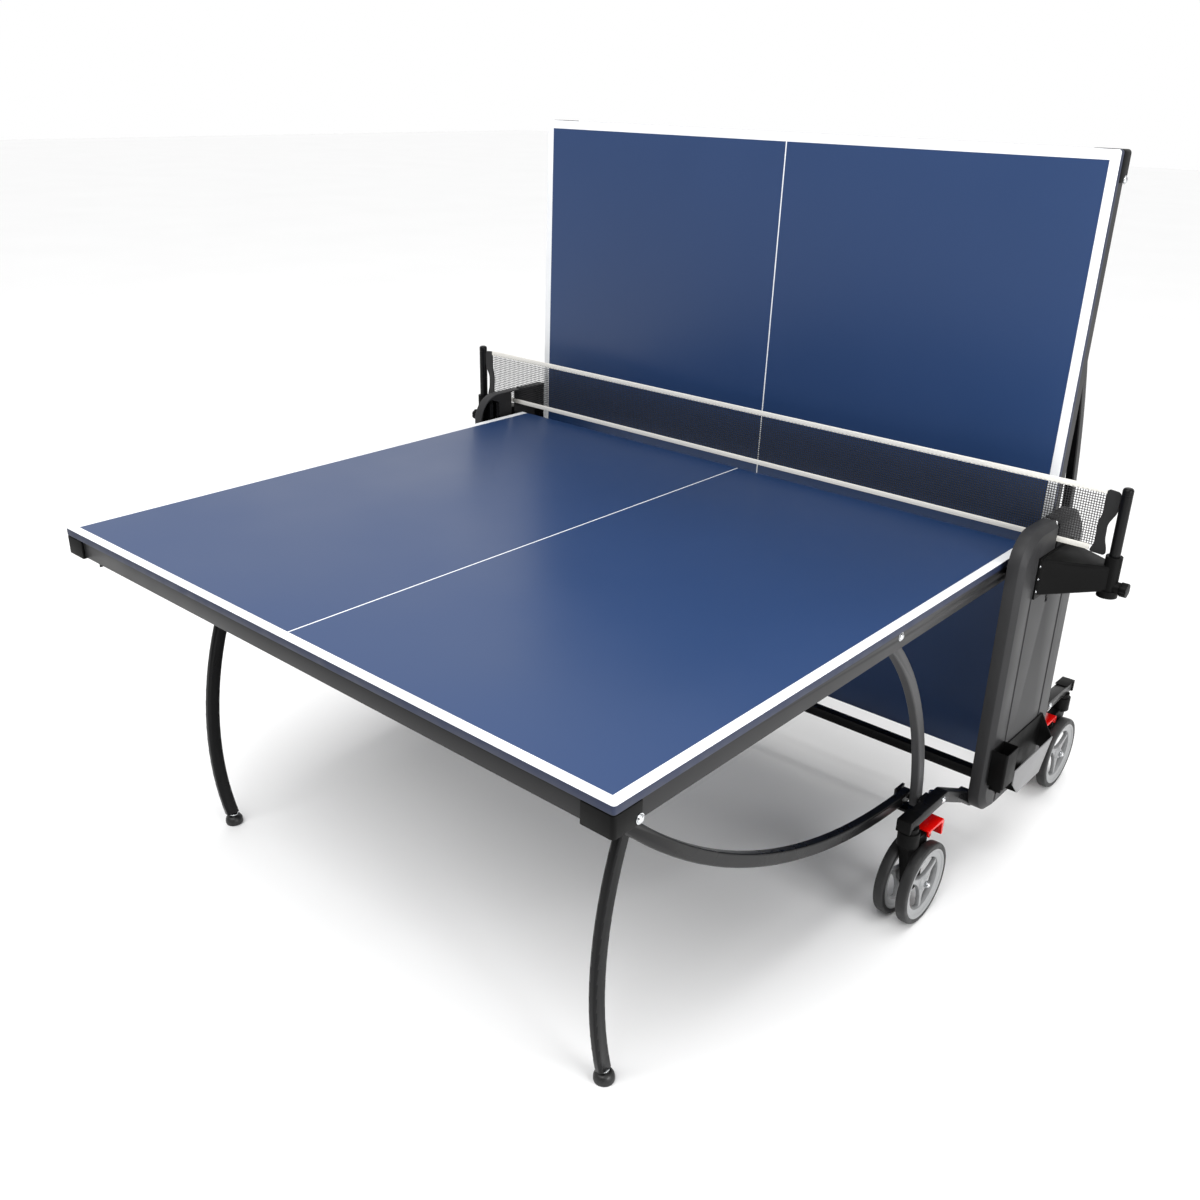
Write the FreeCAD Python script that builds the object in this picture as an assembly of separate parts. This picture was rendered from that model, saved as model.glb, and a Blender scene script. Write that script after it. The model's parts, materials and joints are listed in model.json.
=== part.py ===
import FreeCAD
import Part
import math
import os

# Folding table tennis table with playback. One half lies flat, the other stands folded.
# Millimetres. X across the table, Y along it, Z up from the floor.
# While a part is built, Y = 0 is the net plane; put() then moves it into the part's frame.

# Playing surface
TOP_HALF_WIDTH = 762.5      # half the 1525 mm width
TOP_END = 1370.0            # from the net plane to the end line
TOP_HEIGHT = 760.0
SLAB = 16.0                 # thickness of the playing board
BOARD_CORNER = 6.0
NET_GAP = 8.0               # net plane to the board's net edge
FOLD_ANGLE = 88.8           # a folded half leans back a little
FOLDED_EDGE = 182.0         # height of the folded half's net edge

# Apron frame under each board
RAIL = 20.0                 # width of a rail
RAIL_DROP = 36.0            # height of a rail
RAIL_INSET = 4.5            # board edge to rail
WALL = 2.0                  # wall of every steel tube
CROSS_RAILS = (640.0, 960.0)
CROSS_DROP = 30.0           # height of the cross rails between them
CAP_REACH = 62.0            # how far a corner protector runs along each rail
CAP_WALL = 5.0

# Guide pin that each half folds on
PIN_FROM_EDGE = 96.0
PIN_DEPTH = 34.0            # below the playing face
PIN_R = 6.0
RUNNING = 0.05              # radial clearance of a running fit

# Strut (short arc) and stay (long arc)
STRUT_TOP = (575.0, 726.0)  # distance from the net plane, height
STAY_END = (1314.0, 698.0)
LOWER_PIVOT_Z = 254.0
STRUT_SAG = 57.0
STAY_SAG = 108.0
ARC_WIDTH = 20.0            # across X
STRUT_DEPTH = 25.0
STAY_DEPTH = 26.0
STRUT_X = 716.0             # inner side of the strut
STAY_X = 692.0              # inner side of the stay
ARC_ROUNDING = 4.0
GUIDE_PIN_R = 5.0           # outer pin of the stay
GUIDE_COLLAR_R = 7.5
GUIDE_SLOT_R = 6.5

# Legs
LEG_X = 588.0
LEG_PIVOT = (1032.0, 718.0)
LEG_FOOT = (1161.0, 0.0)    # where the leg's centre line would meet the floor
LEG_SAG = 82.0
LEG_WIDTH = 18.0
LEG_DEPTH = 30.0
LEG_FOLD = 97.0
LEG_PIN_R = 5.0
LEG_BAR = 24.0              # square tube between the two legs
FOOT_Y = 1165.0             # the tube leans, so its foot stands a little further out
FOOT_R = 20.0
FOOT_HEIGHT = 22.0

# Undercarriage
BEAM_X0, BEAM_X1 = 746.0, 774.0
BEAM_TOP = 268.5
BEAM_DEPTH = 25.0
BEAM_END = 430.0
BEAM_BEND = 266.0
BEAM_MIDDLE = 128.0         # half length of the low middle part, between the folding boards
CROSSBAR_Z0, CROSSBAR_Z1 = 163.0, 187.0
CROSSBAR_HALF = 12.0
FOOT_PLATE_Z0, FOOT_PLATE_Z1 = 168.0, 176.0
FOOT_PLATE_HALF = 112.0

# Fasteners on the beams
BOLT_Z = 256.0
BOLT_R = 7.0
HEAD_FROM_PIVOT = 33.0
NUTS_FROM_PIVOT = (26.0, 43.0)

# Column covers and the guide tracks behind them
COVER_X0, COVER_X1 = 776.0, 812.0
COVER_HALF = 160.0
COVER_BOTTOM, COVER_TOP = 162.0, 824.0
COVER_BEVEL = 11.0
COVER_WALL = 3.0
GROOVE_Y = 92.0
TRACK_X0, TRACK_X1 = 777.0, 805.0
TRACK_HALF = 18.0
TRACK_TOP = 800.0
SLOT_HALF = 7.0

# Net
NET_POST_X = 932.0
NET_POST_R = 11.0
NET_TOP = 915.0
NET_BOTTOM = 779.0
NET_POST_TOP = 924.0
TAPE = 12.0
NET_THICK = 2.0
POCKET_X = 893.0            # inner edge of the black end pockets
ARM_PLATE_HALF = 87.0
ARM_HALF = 80.0             # half width of the arm at the column
ARM_TIP_HALF = 18.0
KNOB_Z = 712.0

# Casters
CASTER_X = 760.0
AXLE_Y = 366.0
WHEEL_R = 93.0
STEM_Y = 405.0
TYRE_WIDTH = 24.0
WHEEL_GAP = 28.0
RIM_R = 80.0
WINDOW_R = 62.0             # outer end of the openings between the spokes
AXLE_R = 9.0
PEDAL_PIVOT = (338.0, 194.0)
PEDAL_HALF = 18.0

# Bat and ball holders
HOLDER_X1 = 848.0
HOLDER_Y0, HOLDER_Y1 = -95.0, 115.0
HOLDER_Z0, HOLDER_TOP, HOLDER_FRONT = 198.0, 322.0, 271.0
HOLDER_WALL = 3.0
HOLDER_CUT = 38.0           # cut of the lower corner beside the ball box
HOLDER_SLANT = 52.0         # slant of the other end
BOX_Y0, BOX_Y1 = -156.0, -98.0
BOX_Z0, BOX_Z1 = 250.0, 336.0

NEAR_REACH = TOP_END - RAIL_INSET + CAP_WALL
FAR_REACH = AXLE_Y + WHEEL_R
NET_Y = (NEAR_REACH - FAR_REACH) / 2         # net plane to the middle of the whole object

X_AXIS = FreeCAD.Vector(1, 0, 0)
Y_AXIS = FreeCAD.Vector(0, 1, 0)
Z_AXIS = FreeCAD.Vector(0, 0, 1)


def vec(x, y, z):
    return FreeCAD.Vector(x, y, z)


def box(x0, x1, y0, y1, z0, z1):
    return Part.makeBox(x1 - x0, y1 - y0, z1 - z0, vec(x0, y0, z0))


def rod_x(x0, x1, y, z, r):
    return Part.makeCylinder(r, x1 - x0, vec(x0, y, z), X_AXIS)


def rod_z(x, y, z0, z1, r):
    return Part.makeCylinder(r, z1 - z0, vec(x, y, z0), Z_AXIS)


def plate(points, x0, x1):
    """Outline of (y, z) points, extruded from x0 to x1."""
    corners = [vec(x0, y, z) for y, z in points]
    wire = Part.makePolygon(corners + corners[:1])
    return Part.Face(wire).extrude(vec(x1 - x0, 0, 0))


def section(points, y0, y1):
    """Outline of (x, z) points, extruded from y0 to y1."""
    corners = [vec(x, y0, z) for x, z in points]
    wire = Part.makePolygon(corners + corners[:1])
    return Part.Face(wire).extrude(vec(0, y1 - y0, 0))


def fuse(shapes):
    return shapes[0].multiFuse(shapes[1:]).removeSplitter()


def mirror_x(shape):
    return shape.mirror(vec(0, 0, 0), X_AXIS)


def mirror_y(shape):
    return shape.mirror(vec(0, 0, 0), Y_AXIS)


def both_sides(shapes):
    """The given right-hand shapes and their left-hand twins."""
    return list(shapes) + [mirror_x(s) for s in shapes]


def is_upright(edge):
    return abs(edge.tangentAt(edge.FirstParameter).z) > 0.99


def is_round(edge):
    return edge.Curve.TypeId == "Part::GeomCircle"


def round_edges(shape, radius, keep):
    """Fillets the edges for which keep(edge) is true."""
    edges = [e for e in shape.Edges if keep(e)]
    return shape.makeFillet(radius, edges)


def put(name, shapes):
    """Moves the solids from the net plane's frame to the part's and writes them."""
    solids = [s for shape in shapes for s in shape.Solids]
    group = solids[0] if len(solids) == 1 else Part.makeCompound(solids)
    group = group.copy()
    group.translate(vec(0, NET_Y, 0))
    group.exportStep("parts/" + name + ".step")


# Arcs in the YZ plane


def circle_of(p, q, sag):
    """Centre, radius and end angles of the arc p to q that bulges by sag to the right of p to q."""
    dy, dz = q[0] - p[0], q[1] - p[1]
    chord = math.hypot(dy, dz)
    radius = (chord * chord / 4 + sag * sag) / (2 * sag)
    ny, nz = dz / chord, -dy / chord
    middle = ((p[0] + q[0]) / 2, (p[1] + q[1]) / 2)
    centre = (middle[0] - ny * (radius - sag), middle[1] - nz * (radius - sag))
    start = math.atan2(p[1] - centre[1], p[0] - centre[0])
    sweep = 2 * math.asin(chord / 2 / radius)
    return centre, radius, start, sweep


def arc_point(circle, offset, share):
    centre, radius, start, sweep = circle
    angle = start + sweep * share
    reach = radius + offset
    return centre[0] + reach * math.cos(angle), centre[1] + reach * math.sin(angle)


def arc_band(p, q, sag, depth, x0, x1, extra):
    """Bar along the arc p to q, cut square, running extra past both ends."""
    circle = circle_of(p, q, sag)
    over = extra / (circle[1] * circle[3])
    shares = (-over, 0.5, 1 + over)
    outer = [vec(x0, *arc_point(circle, depth / 2, t)) for t in shares]
    inner = [vec(x0, *arc_point(circle, -depth / 2, t)) for t in shares]
    edges = [
        Part.Arc(*outer).toShape(),
        Part.makeLine(outer[2], inner[2]),
        Part.Arc(*reversed(inner)).toShape(),
        Part.makeLine(inner[0], outer[0]),
    ]
    return Part.Face(Part.Wire(edges)).extrude(vec(x1 - x0, 0, 0))


def arc_tube(p, q, sag, depth, x0, x1, extra, radius):
    """Steel tube bent along the arc, open at both ends."""
    outer = arc_band(p, q, sag, depth, x0, x1, extra)
    outer = round_edges(outer, radius, is_round)
    bore = arc_band(p, q, sag, depth - 2 * WALL, x0 + WALL, x1 - WALL, extra + 5)
    return outer.cut(bore)


# Motion of a half, as (distance from the net plane, height)


def lower_pivot():
    """The point at LOWER_PIVOT_Z that is as far from the strut's top when flat as when folded."""
    y0, z0 = STRUT_TOP
    y1, z1 = folded_point(STRUT_TOP, 1.0)
    rest = y0 * y0 - y1 * y1 + z0 * z0 - z1 * z1 - 2 * LOWER_PIVOT_Z * (z0 - z1)
    return rest / (2 * (y0 - y1)), LOWER_PIVOT_Z


def pin_at(share):
    """The guide pin, at a share of the fold: it runs straight down its track."""
    lean = math.radians(FOLD_ANGLE)
    low = FOLDED_EDGE + PIN_FROM_EDGE * math.sin(lean) + PIN_DEPTH * math.cos(lean)
    high = TOP_HEIGHT - PIN_DEPTH
    return NET_GAP + PIN_FROM_EDGE, high + (low - high) * share


def folded_point(point, share):
    """Where a point of the flat half is at a share of the fold."""
    y0, z0 = pin_at(0)
    y1, z1 = pin_at(share)
    angle = math.radians(FOLD_ANGLE) * share
    dy, dz = point[0] - y0, point[1] - z0
    turned_y = dy * math.cos(angle) - dz * math.sin(angle)
    turned_z = dy * math.sin(angle) + dz * math.cos(angle)
    return y1 + turned_y, z1 + turned_z


def flat_point(point, share):
    """The same, the other way: a fixed point as the moving half sees it."""
    y0, z0 = pin_at(0)
    y1, z1 = pin_at(share)
    angle = -math.radians(FOLD_ANGLE) * share
    dy, dz = point[0] - y1, point[1] - z1
    turned_y = dy * math.cos(angle) - dz * math.sin(angle)
    turned_z = dy * math.sin(angle) + dz * math.cos(angle)
    return y0 + turned_y, z0 + turned_z


PIVOT = lower_pivot()
STRUT_LENGTH = math.dist(PIVOT, STRUT_TOP)
STAY_LENGTH = math.dist(PIVOT, STAY_END)


def angle_to(point):
    return math.degrees(math.atan2(point[1] - PIVOT[1], point[0] - PIVOT[0]))


def folded_stay_end():
    """The stay's outer end when folded, at the same depth under the board as when flat."""
    depth_line = STAY_END[1]
    near, far = STAY_END[0] - 400, STAY_END[0]
    for _ in range(60):
        middle = (near + far) / 2
        reach = math.dist(PIVOT, folded_point((middle, depth_line), 1.0))
        if reach < STAY_LENGTH:
            near = middle
        else:
            far = middle
    return folded_point((middle, depth_line), 1.0)


STRUT_SWING = angle_to(folded_point(STRUT_TOP, 1.0)) - angle_to(STRUT_TOP)
STAY_SWING = angle_to(folded_stay_end()) - angle_to(STAY_END)


def stay_end_path(steps):
    """The stay's outer pin as the half sees it over the fold."""
    points = []
    for i in range(steps + 1):
        share = i / steps
        angle = math.radians(angle_to(STAY_END) + STAY_SWING * share)
        y = PIVOT[0] + STAY_LENGTH * math.cos(angle)
        z = PIVOT[1] + STAY_LENGTH * math.sin(angle)
        points.append(flat_point((y, z), share))
    return points


# One half of the table, lying flat on the +Y side. Each function returns a list of solids.


def slab():
    """Playing board, rounded at the two corners of the end line."""
    board = box(-TOP_HALF_WIDTH, TOP_HALF_WIDTH, NET_GAP, TOP_END, TOP_HEIGHT - SLAB, TOP_HEIGHT)

    def at_end(edge):
        return is_upright(edge) and edge.CenterOfMass.y > NET_GAP + 1

    return [round_edges(board, BOARD_CORNER, at_end)]


RAIL_TOP = TOP_HEIGHT - SLAB
RAIL_BOTTOM = RAIL_TOP - RAIL_DROP
RAIL_X1 = TOP_HALF_WIDTH - RAIL_INSET
RAIL_X0 = RAIL_X1 - RAIL
END_RAIL_Y1 = TOP_END - RAIL_INSET
END_RAIL_Y0 = END_RAIL_Y1 - RAIL


def side_rails():
    y0 = NET_GAP + RAIL_INSET
    outer = box(RAIL_X0, RAIL_X1, y0, END_RAIL_Y0, RAIL_BOTTOM, RAIL_TOP)
    inner = box(
        RAIL_X0 + WALL, RAIL_X1 - WALL, y0 - 1, END_RAIL_Y0 + 1, RAIL_BOTTOM + WALL, RAIL_TOP - WALL,
    )
    pin_y, pin_z = pin_at(0)
    hole = rod_x(RAIL_X0 - 1, RAIL_X1 + 1, pin_y, pin_z, PIN_R + RUNNING)
    return both_sides([outer.cut(inner).cut(hole)])


def cross_tube(half, y0, y1, z0):
    outer = box(-half, half, y0, y1, z0, RAIL_TOP)
    inner = box(-half - 1, half + 1, y0 + WALL, y1 - WALL, z0 + WALL, RAIL_TOP - WALL)
    return outer.cut(inner)


def cross_rails():
    tubes = [cross_tube(RAIL_X1, END_RAIL_Y0, END_RAIL_Y1, RAIL_BOTTOM)]
    net_rail = NET_GAP + RAIL_INSET
    tubes.append(cross_tube(RAIL_X0, net_rail, net_rail + RAIL, RAIL_BOTTOM))
    for y in CROSS_RAILS:
        tubes.append(cross_tube(RAIL_X0, y - RAIL / 2, y + RAIL / 2, RAIL_TOP - CROSS_DROP))
    return tubes


def corner_protectors():
    """Plastic angle around each outer corner of the frame."""
    x1, y1 = RAIL_X1 + CAP_WALL, END_RAIL_Y1 + CAP_WALL
    z0 = RAIL_BOTTOM - CAP_WALL + 1
    body = box(x1 - CAP_REACH, x1, y1 - CAP_REACH, y1, z0, RAIL_TOP - 1)

    def at_corner(edge):
        middle = edge.CenterOfMass
        return is_upright(edge) and middle.x > x1 - 1 and middle.y > y1 - 1

    body = round_edges(body, 8, at_corner)
    rails = box(0, RAIL_X1, 0, END_RAIL_Y1, RAIL_BOTTOM, RAIL_TOP)
    under = box(0, RAIL_X0, 0, END_RAIL_Y0, 0, RAIL_TOP)
    return both_sides([body.cut(rails).cut(under)])


def carriage():
    """A slider in each guide track, with the pin that the half turns on."""
    y, z = pin_at(0)
    slider = box(TRACK_X0 + 4, TRACK_X1 - 4, y - 12, y + 12, z - 20, z + 20)
    pin = rod_x(RAIL_X0 + 3, TRACK_X0 + 5, y, z, PIN_R)
    washer = rod_x(RAIL_X1 + 1, RAIL_X1 + 4, y, z, 11)
    return both_sides([fuse([slider, pin, washer])])


def struts():
    """Bent tube from the bolt in the side rail to the lower pivot."""
    x1 = STRUT_X + ARC_WIDTH
    tube = arc_tube(STRUT_TOP, PIVOT, STRUT_SAG, STRUT_DEPTH, STRUT_X, x1, 12, ARC_ROUNDING)
    for y, z in (STRUT_TOP, PIVOT):
        tube = tube.cut(rod_x(STRUT_X - 1, x1 + 1, y, z, PIN_R + RUNNING))
    return both_sides([tube])


def stays():
    """Bent tube from the lower pivot to the pin that slides in the guide."""
    x1 = STAY_X + ARC_WIDTH
    tube = arc_tube(PIVOT, STAY_END, STAY_SAG, STAY_DEPTH, STAY_X, x1, 7, ARC_ROUNDING)
    tube = tube.cut(rod_x(STAY_X - 1, x1 + 1, PIVOT[0], PIVOT[1], PIN_R + RUNNING))
    y, z = STAY_END
    pin = rod_x(STAY_X - 3, x1 + 9, y, z, GUIDE_PIN_R)
    collars = [
        rod_x(x1 + 8, x1 + 12, y, z, GUIDE_COLLAR_R),
        rod_x(STAY_X - 6, STAY_X, y, z, GUIDE_COLLAR_R),
    ]
    return both_sides([fuse([tube, pin] + collars)])


def legs():
    """Bent tubes from their pins to just above the feet."""
    y, z = LEG_PIVOT
    x0, x1 = LEG_X - LEG_WIDTH / 2, LEG_X + LEG_WIDTH / 2
    tube = arc_tube(LEG_FOOT, LEG_PIVOT, LEG_SAG, LEG_DEPTH, x0, x1, 14, 6)
    tube = tube.cut(rod_x(x0 - 1, x1 + 1, y, z, LEG_PIN_R + RUNNING))
    below = box(x0 - 1, x1 + 1, LEG_PIVOT[0], TOP_END, -LEG_DEPTH, FOOT_HEIGHT + 8)
    return both_sides([tube.cut(below)])


def leg_crossbar():
    circle = circle_of(LEG_FOOT, LEG_PIVOT, LEG_SAG)
    y, z = arc_point(circle, 0, 0.78)
    length = LEG_X - LEG_WIDTH / 2
    half = LEG_BAR / 2
    outer = box(-length, length, y - half, y + half, z - half, z + half)
    half -= WALL
    bore = box(-length - 1, length + 1, y - half, y + half, z - half, z + half)
    return [outer.cut(bore)]


def legs_and_crossbar():
    return legs() + leg_crossbar()


def foot():
    """Right-hand levelling foot: domed base, collar and threaded stem."""
    y = FOOT_Y
    base = rod_z(LEG_X, y, 0, FOOT_HEIGHT, FOOT_R)

    def on_top(edge):
        return is_round(edge) and abs(edge.CenterOfMass.z - FOOT_HEIGHT) < 0.1

    base = round_edges(base, 12, on_top)
    collar = rod_z(LEG_X, y, FOOT_HEIGHT - 1, FOOT_HEIGHT + 6, 9)
    stem = rod_z(LEG_X, y, FOOT_HEIGHT, FOOT_HEIGHT + 26, 4)
    return [fuse([base, collar, stem])]


def left_foot():
    return [mirror_x(s) for s in foot()]


def leg_brackets():
    """U-bracket and pin that each leg turns on."""
    y, z = LEG_PIVOT
    x0, x1 = LEG_X - LEG_WIDTH / 2 - 6, LEG_X + LEG_WIDTH / 2 + 6
    solid = box(x0, x1, y - 26, y + 26, z - 16, RAIL_TOP)
    inside = box(x0 + 4, x1 - 4, y - 27, y + 27, z - 17, RAIL_TOP - 3.5)
    pin = rod_x(x0 - 3, x1 + 3, y, z, LEG_PIN_R)
    return both_sides([fuse([solid.cut(inside), pin])])


def strut_pins():
    """Shoulder bolt in the side rail that each strut hangs on."""
    y, z = STRUT_TOP
    shank = rod_x(STRUT_X - 0.5, RAIL_X0, y, z, PIN_R)
    head = rod_x(STRUT_X - 3, STRUT_X - 0.4, y, z, 9)
    return both_sides([fuse([shank, head])])


def brackets_and_pins():
    return leg_brackets() + strut_pins()


def stay_guides():
    """Slotted plate under each side rail. Its slot is the path of the stay's outer pin."""
    path = stay_end_path(8)
    x0 = STAY_X + ARC_WIDTH + 2
    x1 = x0 + 3
    y0 = min(p[0] for p in path) - 22
    y1 = max(p[0] for p in path) + 18
    z0 = min(p[1] for p in path) - 18
    web = box(x0, x1, y0, y1, z0, RAIL_TOP)
    flange = box(x0, RAIL_X0, y0, y1, RAIL_TOP - 3, RAIL_TOP)
    guide = fuse([web, flange])
    r = GUIDE_SLOT_R
    for a, b in zip(path, path[1:]):
        length = math.dist(a, b)
        across = ((b[1] - a[1]) / length * r, -(b[0] - a[0]) / length * r)
        corners = [
            (a[0] + across[0], a[1] + across[1]), (b[0] + across[0], b[1] + across[1]),
            (b[0] - across[0], b[1] - across[1]), (a[0] - across[0], a[1] - across[1]),
        ]
        guide = guide.cut(plate(corners, x0 - 1, x1 + 1))
    for y, z in path:
        guide = guide.cut(rod_x(x0 - 1, x1 + 1, y, z, r))
    return both_sides([guide])


def turned(shape, angle, y, z):
    """A copy turned by angle about a line along X through (y, z): +Y goes towards +Z."""
    copy = shape.copy()
    copy.rotate(vec(0, y, z), X_AXIS, angle)
    return copy


def fold_half(shape):
    y, z = pin_at(0)
    copy = turned(shape, FOLD_ANGLE, y, z)
    copy.translate(vec(0, 0, pin_at(1)[1] - z))
    return copy


def fold_strut(shape):
    """The strut turns less than the half, about the bolt that it hangs on."""
    y, z = STRUT_TOP
    return fold_half(turned(shape, STRUT_SWING - FOLD_ANGLE, y, z))


def fold_stay(shape):
    return turned(shape, STAY_SWING, *PIVOT)


def fold_leg(shape):
    return fold_half(turned(shape, -LEG_FOLD, *LEG_PIVOT))


def drop_carriage(shape):
    copy = shape.copy()
    copy.translate(vec(0, 0, pin_at(1)[1] - pin_at(0)[1]))
    return copy


HALF_PIECES = (
    ("board", slab, fold_half),
    ("side_rails", side_rails, fold_half),
    ("cross_rails", cross_rails, fold_half),
    ("corner_protectors", corner_protectors, fold_half),
    ("stay_guides", stay_guides, fold_half),
    ("brackets_and_pins", brackets_and_pins, fold_half),
    ("carriage", carriage, drop_carriage),
    ("struts", struts, fold_strut),
    ("stays", stays, fold_stay),
    ("legs", legs_and_crossbar, fold_leg),
    ("foot_right", foot, fold_leg),
    ("foot_left", left_foot, fold_leg),
)


def write_halves():
    for piece, make, fold in HALF_PIECES:
        flat = make()
        put("near_" + piece, [mirror_y(s) for s in flat])
        put("far_" + piece, [fold(s) for s in flat])


# Undercarriage, right-hand side


def side_beam():
    """Bent beam from caster to caster, with the foot plate of the column on its low middle part."""
    slope_end = COVER_HALF - 18
    fall = 0.5 * (BEAM_BEND - slope_end)
    low = BEAM_TOP - BEAM_DEPTH
    over = [
        (BEAM_END, BEAM_TOP), (BEAM_BEND, BEAM_TOP), (slope_end, BEAM_TOP - fall),
        (BEAM_MIDDLE, BEAM_TOP - fall), (BEAM_MIDDLE, FOOT_PLATE_Z1),
    ]
    under = [
        (BEAM_MIDDLE, CROSSBAR_Z0), (slope_end + 8, low - fall), (BEAM_BEND + 8, low), (BEAM_END, low),
    ]
    outline = over + [(-y, z) for y, z in reversed(over)]
    outline += [(-y, z) for y, z in reversed(under)] + under
    beam = plate(outline, BEAM_X0, BEAM_X1)

    def at_bend(edge):
        across = abs(edge.tangentAt(edge.FirstParameter).x) > 0.99
        return across and slope_end + 8 < abs(edge.CenterOfMass.y) < BEAM_END - 1

    beam = round_edges(beam, 22, at_bend)
    reach = COVER_X1 - COVER_BEVEL - 1
    foot_plate = box(BEAM_X0, reach, -FOOT_PLATE_HALF, FOOT_PLATE_HALF, FOOT_PLATE_Z0, FOOT_PLATE_Z1)
    return fuse([beam, foot_plate])


def cover_outline(x, inset):
    """Edge of the column cover at an inset, with four rounded corners, in the plane at x."""
    side = COVER_HALF - inset
    flat = COVER_HALF - 76
    top, bottom = COVER_TOP - inset, COVER_BOTTOM + inset
    right = [
        vec(x, flat, bottom), vec(x, side - 16, bottom + 18), vec(x, side, COVER_BOTTOM + 62),
        vec(x, side, COVER_TOP - 62), vec(x, side - 20, top - 21), vec(x, flat, top),
    ]
    left = [vec(x, -p.y, p.z) for p in reversed(right)]
    edges = []
    for corners in (right, left):
        edges.append(Part.Arc(*corners[:3]).toShape())
        edges.append(Part.makeLine(corners[2], corners[3]))
        edges.append(Part.Arc(*corners[3:]).toShape())
    edges.insert(3, Part.makeLine(right[5], left[0]))
    edges.append(Part.makeLine(left[5], right[0]))
    return Part.Wire(edges)


def column_cover():
    """Dish open towards the table, with two long grooves and a slot for the net."""
    straight = COVER_X1 - COVER_X0 - COVER_BEVEL
    shell = Part.Face(cover_outline(COVER_X0, 0)).extrude(vec(straight, 0, 0))
    rims = [cover_outline(COVER_X0 + straight, 0), cover_outline(COVER_X1, COVER_BEVEL)]
    shell = shell.fuse(Part.makeLoft(rims, True, True))
    hollow = Part.Face(cover_outline(COVER_X0 - 1, COVER_WALL)).extrude(vec(straight, 0, 0))
    rims = [
        cover_outline(COVER_X0 + straight - 1, COVER_WALL),
        cover_outline(COVER_X1 - COVER_WALL, COVER_BEVEL),
    ]
    shell = shell.cut(hollow).cut(Part.makeLoft(rims, True, True))
    for y in (-GROOVE_Y, GROOVE_Y):
        groove = box(COVER_X1 - 1.6, COVER_X1 + 1, y - 4.5, y + 4.5, COVER_BOTTOM - 1, COVER_TOP - 62)
        shell = shell.cut(groove)
    return shell.cut(box(COVER_X0 - 1, COVER_X1 + 1, -6, 6, 640, COVER_TOP + 1))


def guide_track():
    """C-channel, open towards the table."""
    y = NET_GAP + PIN_FROM_EDGE
    z0 = FOOT_PLATE_Z1
    channel = box(TRACK_X0, TRACK_X1, y - TRACK_HALF, y + TRACK_HALF, z0, TRACK_TOP)
    half = TRACK_HALF - 3
    inside = box(TRACK_X0 + 3, TRACK_X1 - 3, y - half, y + half, z0 - 1, TRACK_TOP + 1)
    slot = box(TRACK_X0 - 1, TRACK_X0 + 4, y - SLOT_HALF, y + SLOT_HALF, z0 - 1, TRACK_TOP + 1)
    return channel.cut(inside).cut(slot)


def pivot_yoke():
    """U-plate on the beam's inner face. Its inner cheek carries the stay's pin, clear of the strut."""
    y, z = PIVOT
    z0, z1 = z - 32, z + 14
    outer = box(BEAM_X0 - 7, BEAM_X0, y - 18, y + 18, z0, z1)
    web = box(STAY_X - 8, BEAM_X0, y - 18, y + 18, z0, z0 + 6)
    inner = box(STAY_X - 8, STAY_X - 2, y - 18, y + 18, z0, z1)
    pin = rod_x(STAY_X - 12, STAY_X + ARC_WIDTH + 1, y, z, PIN_R)
    return fuse([outer, web, inner, pin])


def beam_bolts():
    """Bolt heads on the beam's outer face and acorn nuts on the inner one."""
    bolts = [rod_x(BEAM_X1, BEAM_X1 + 5, PIVOT[0] - HEAD_FROM_PIVOT, BOLT_Z, BOLT_R)]
    for shift in NUTS_FROM_PIVOT:
        bolts.append(rod_x(BEAM_X0 - 8, BEAM_X0, PIVOT[0] - shift, BOLT_Z, BOLT_R))
    return bolts


def beam_end_cap():
    y0 = BEAM_END
    low = BEAM_TOP - BEAM_DEPTH
    cap = box(BEAM_X0 - 2, BEAM_X1 + 2, y0, y0 + 8, low - 2, BEAM_TOP + 2)
    sleeve = box(BEAM_X0 - 2, BEAM_X1 + 2, y0 - 44, y0, BEAM_TOP, BEAM_TOP + 2)
    return fuse([cap, sleeve])


def write_undercarriage():
    beam = side_beam()
    put("side_beam_right", [beam])
    put("side_beam_left", [mirror_x(beam)])
    bar = box(-BEAM_X0, BEAM_X0, -CROSSBAR_HALF, CROSSBAR_HALF, CROSSBAR_Z0, CROSSBAR_Z1)
    bore = box(
        -BEAM_X0 - 1, BEAM_X0 + 1, -CROSSBAR_HALF + WALL, CROSSBAR_HALF - WALL,
        CROSSBAR_Z0 + WALL, CROSSBAR_Z1 - WALL,
    )
    put("lower_crossbar", [bar.cut(bore)])
    cover = column_cover()
    put("column_cover_right", [cover])
    put("column_cover_left", [mirror_x(cover)])
    track = guide_track()
    put("guide_tracks", both_sides([track, mirror_y(track)]))
    yoke = pivot_yoke()
    put("pivot_yokes", both_sides([yoke, mirror_y(yoke)]))
    bolts = beam_bolts()
    put("beam_bolts", both_sides(bolts + [mirror_y(b) for b in bolts]))
    cap = beam_end_cap()
    put("beam_end_caps", both_sides([cap, mirror_y(cap)]))


# Net, its arms and posts


def arm_outline(x, half, z0, z1):
    corners = [vec(x, -half, z0), vec(x, half, z0), vec(x, half, z1), vec(x, -half, z1)]
    return Part.makePolygon(corners + corners[:1])


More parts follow.
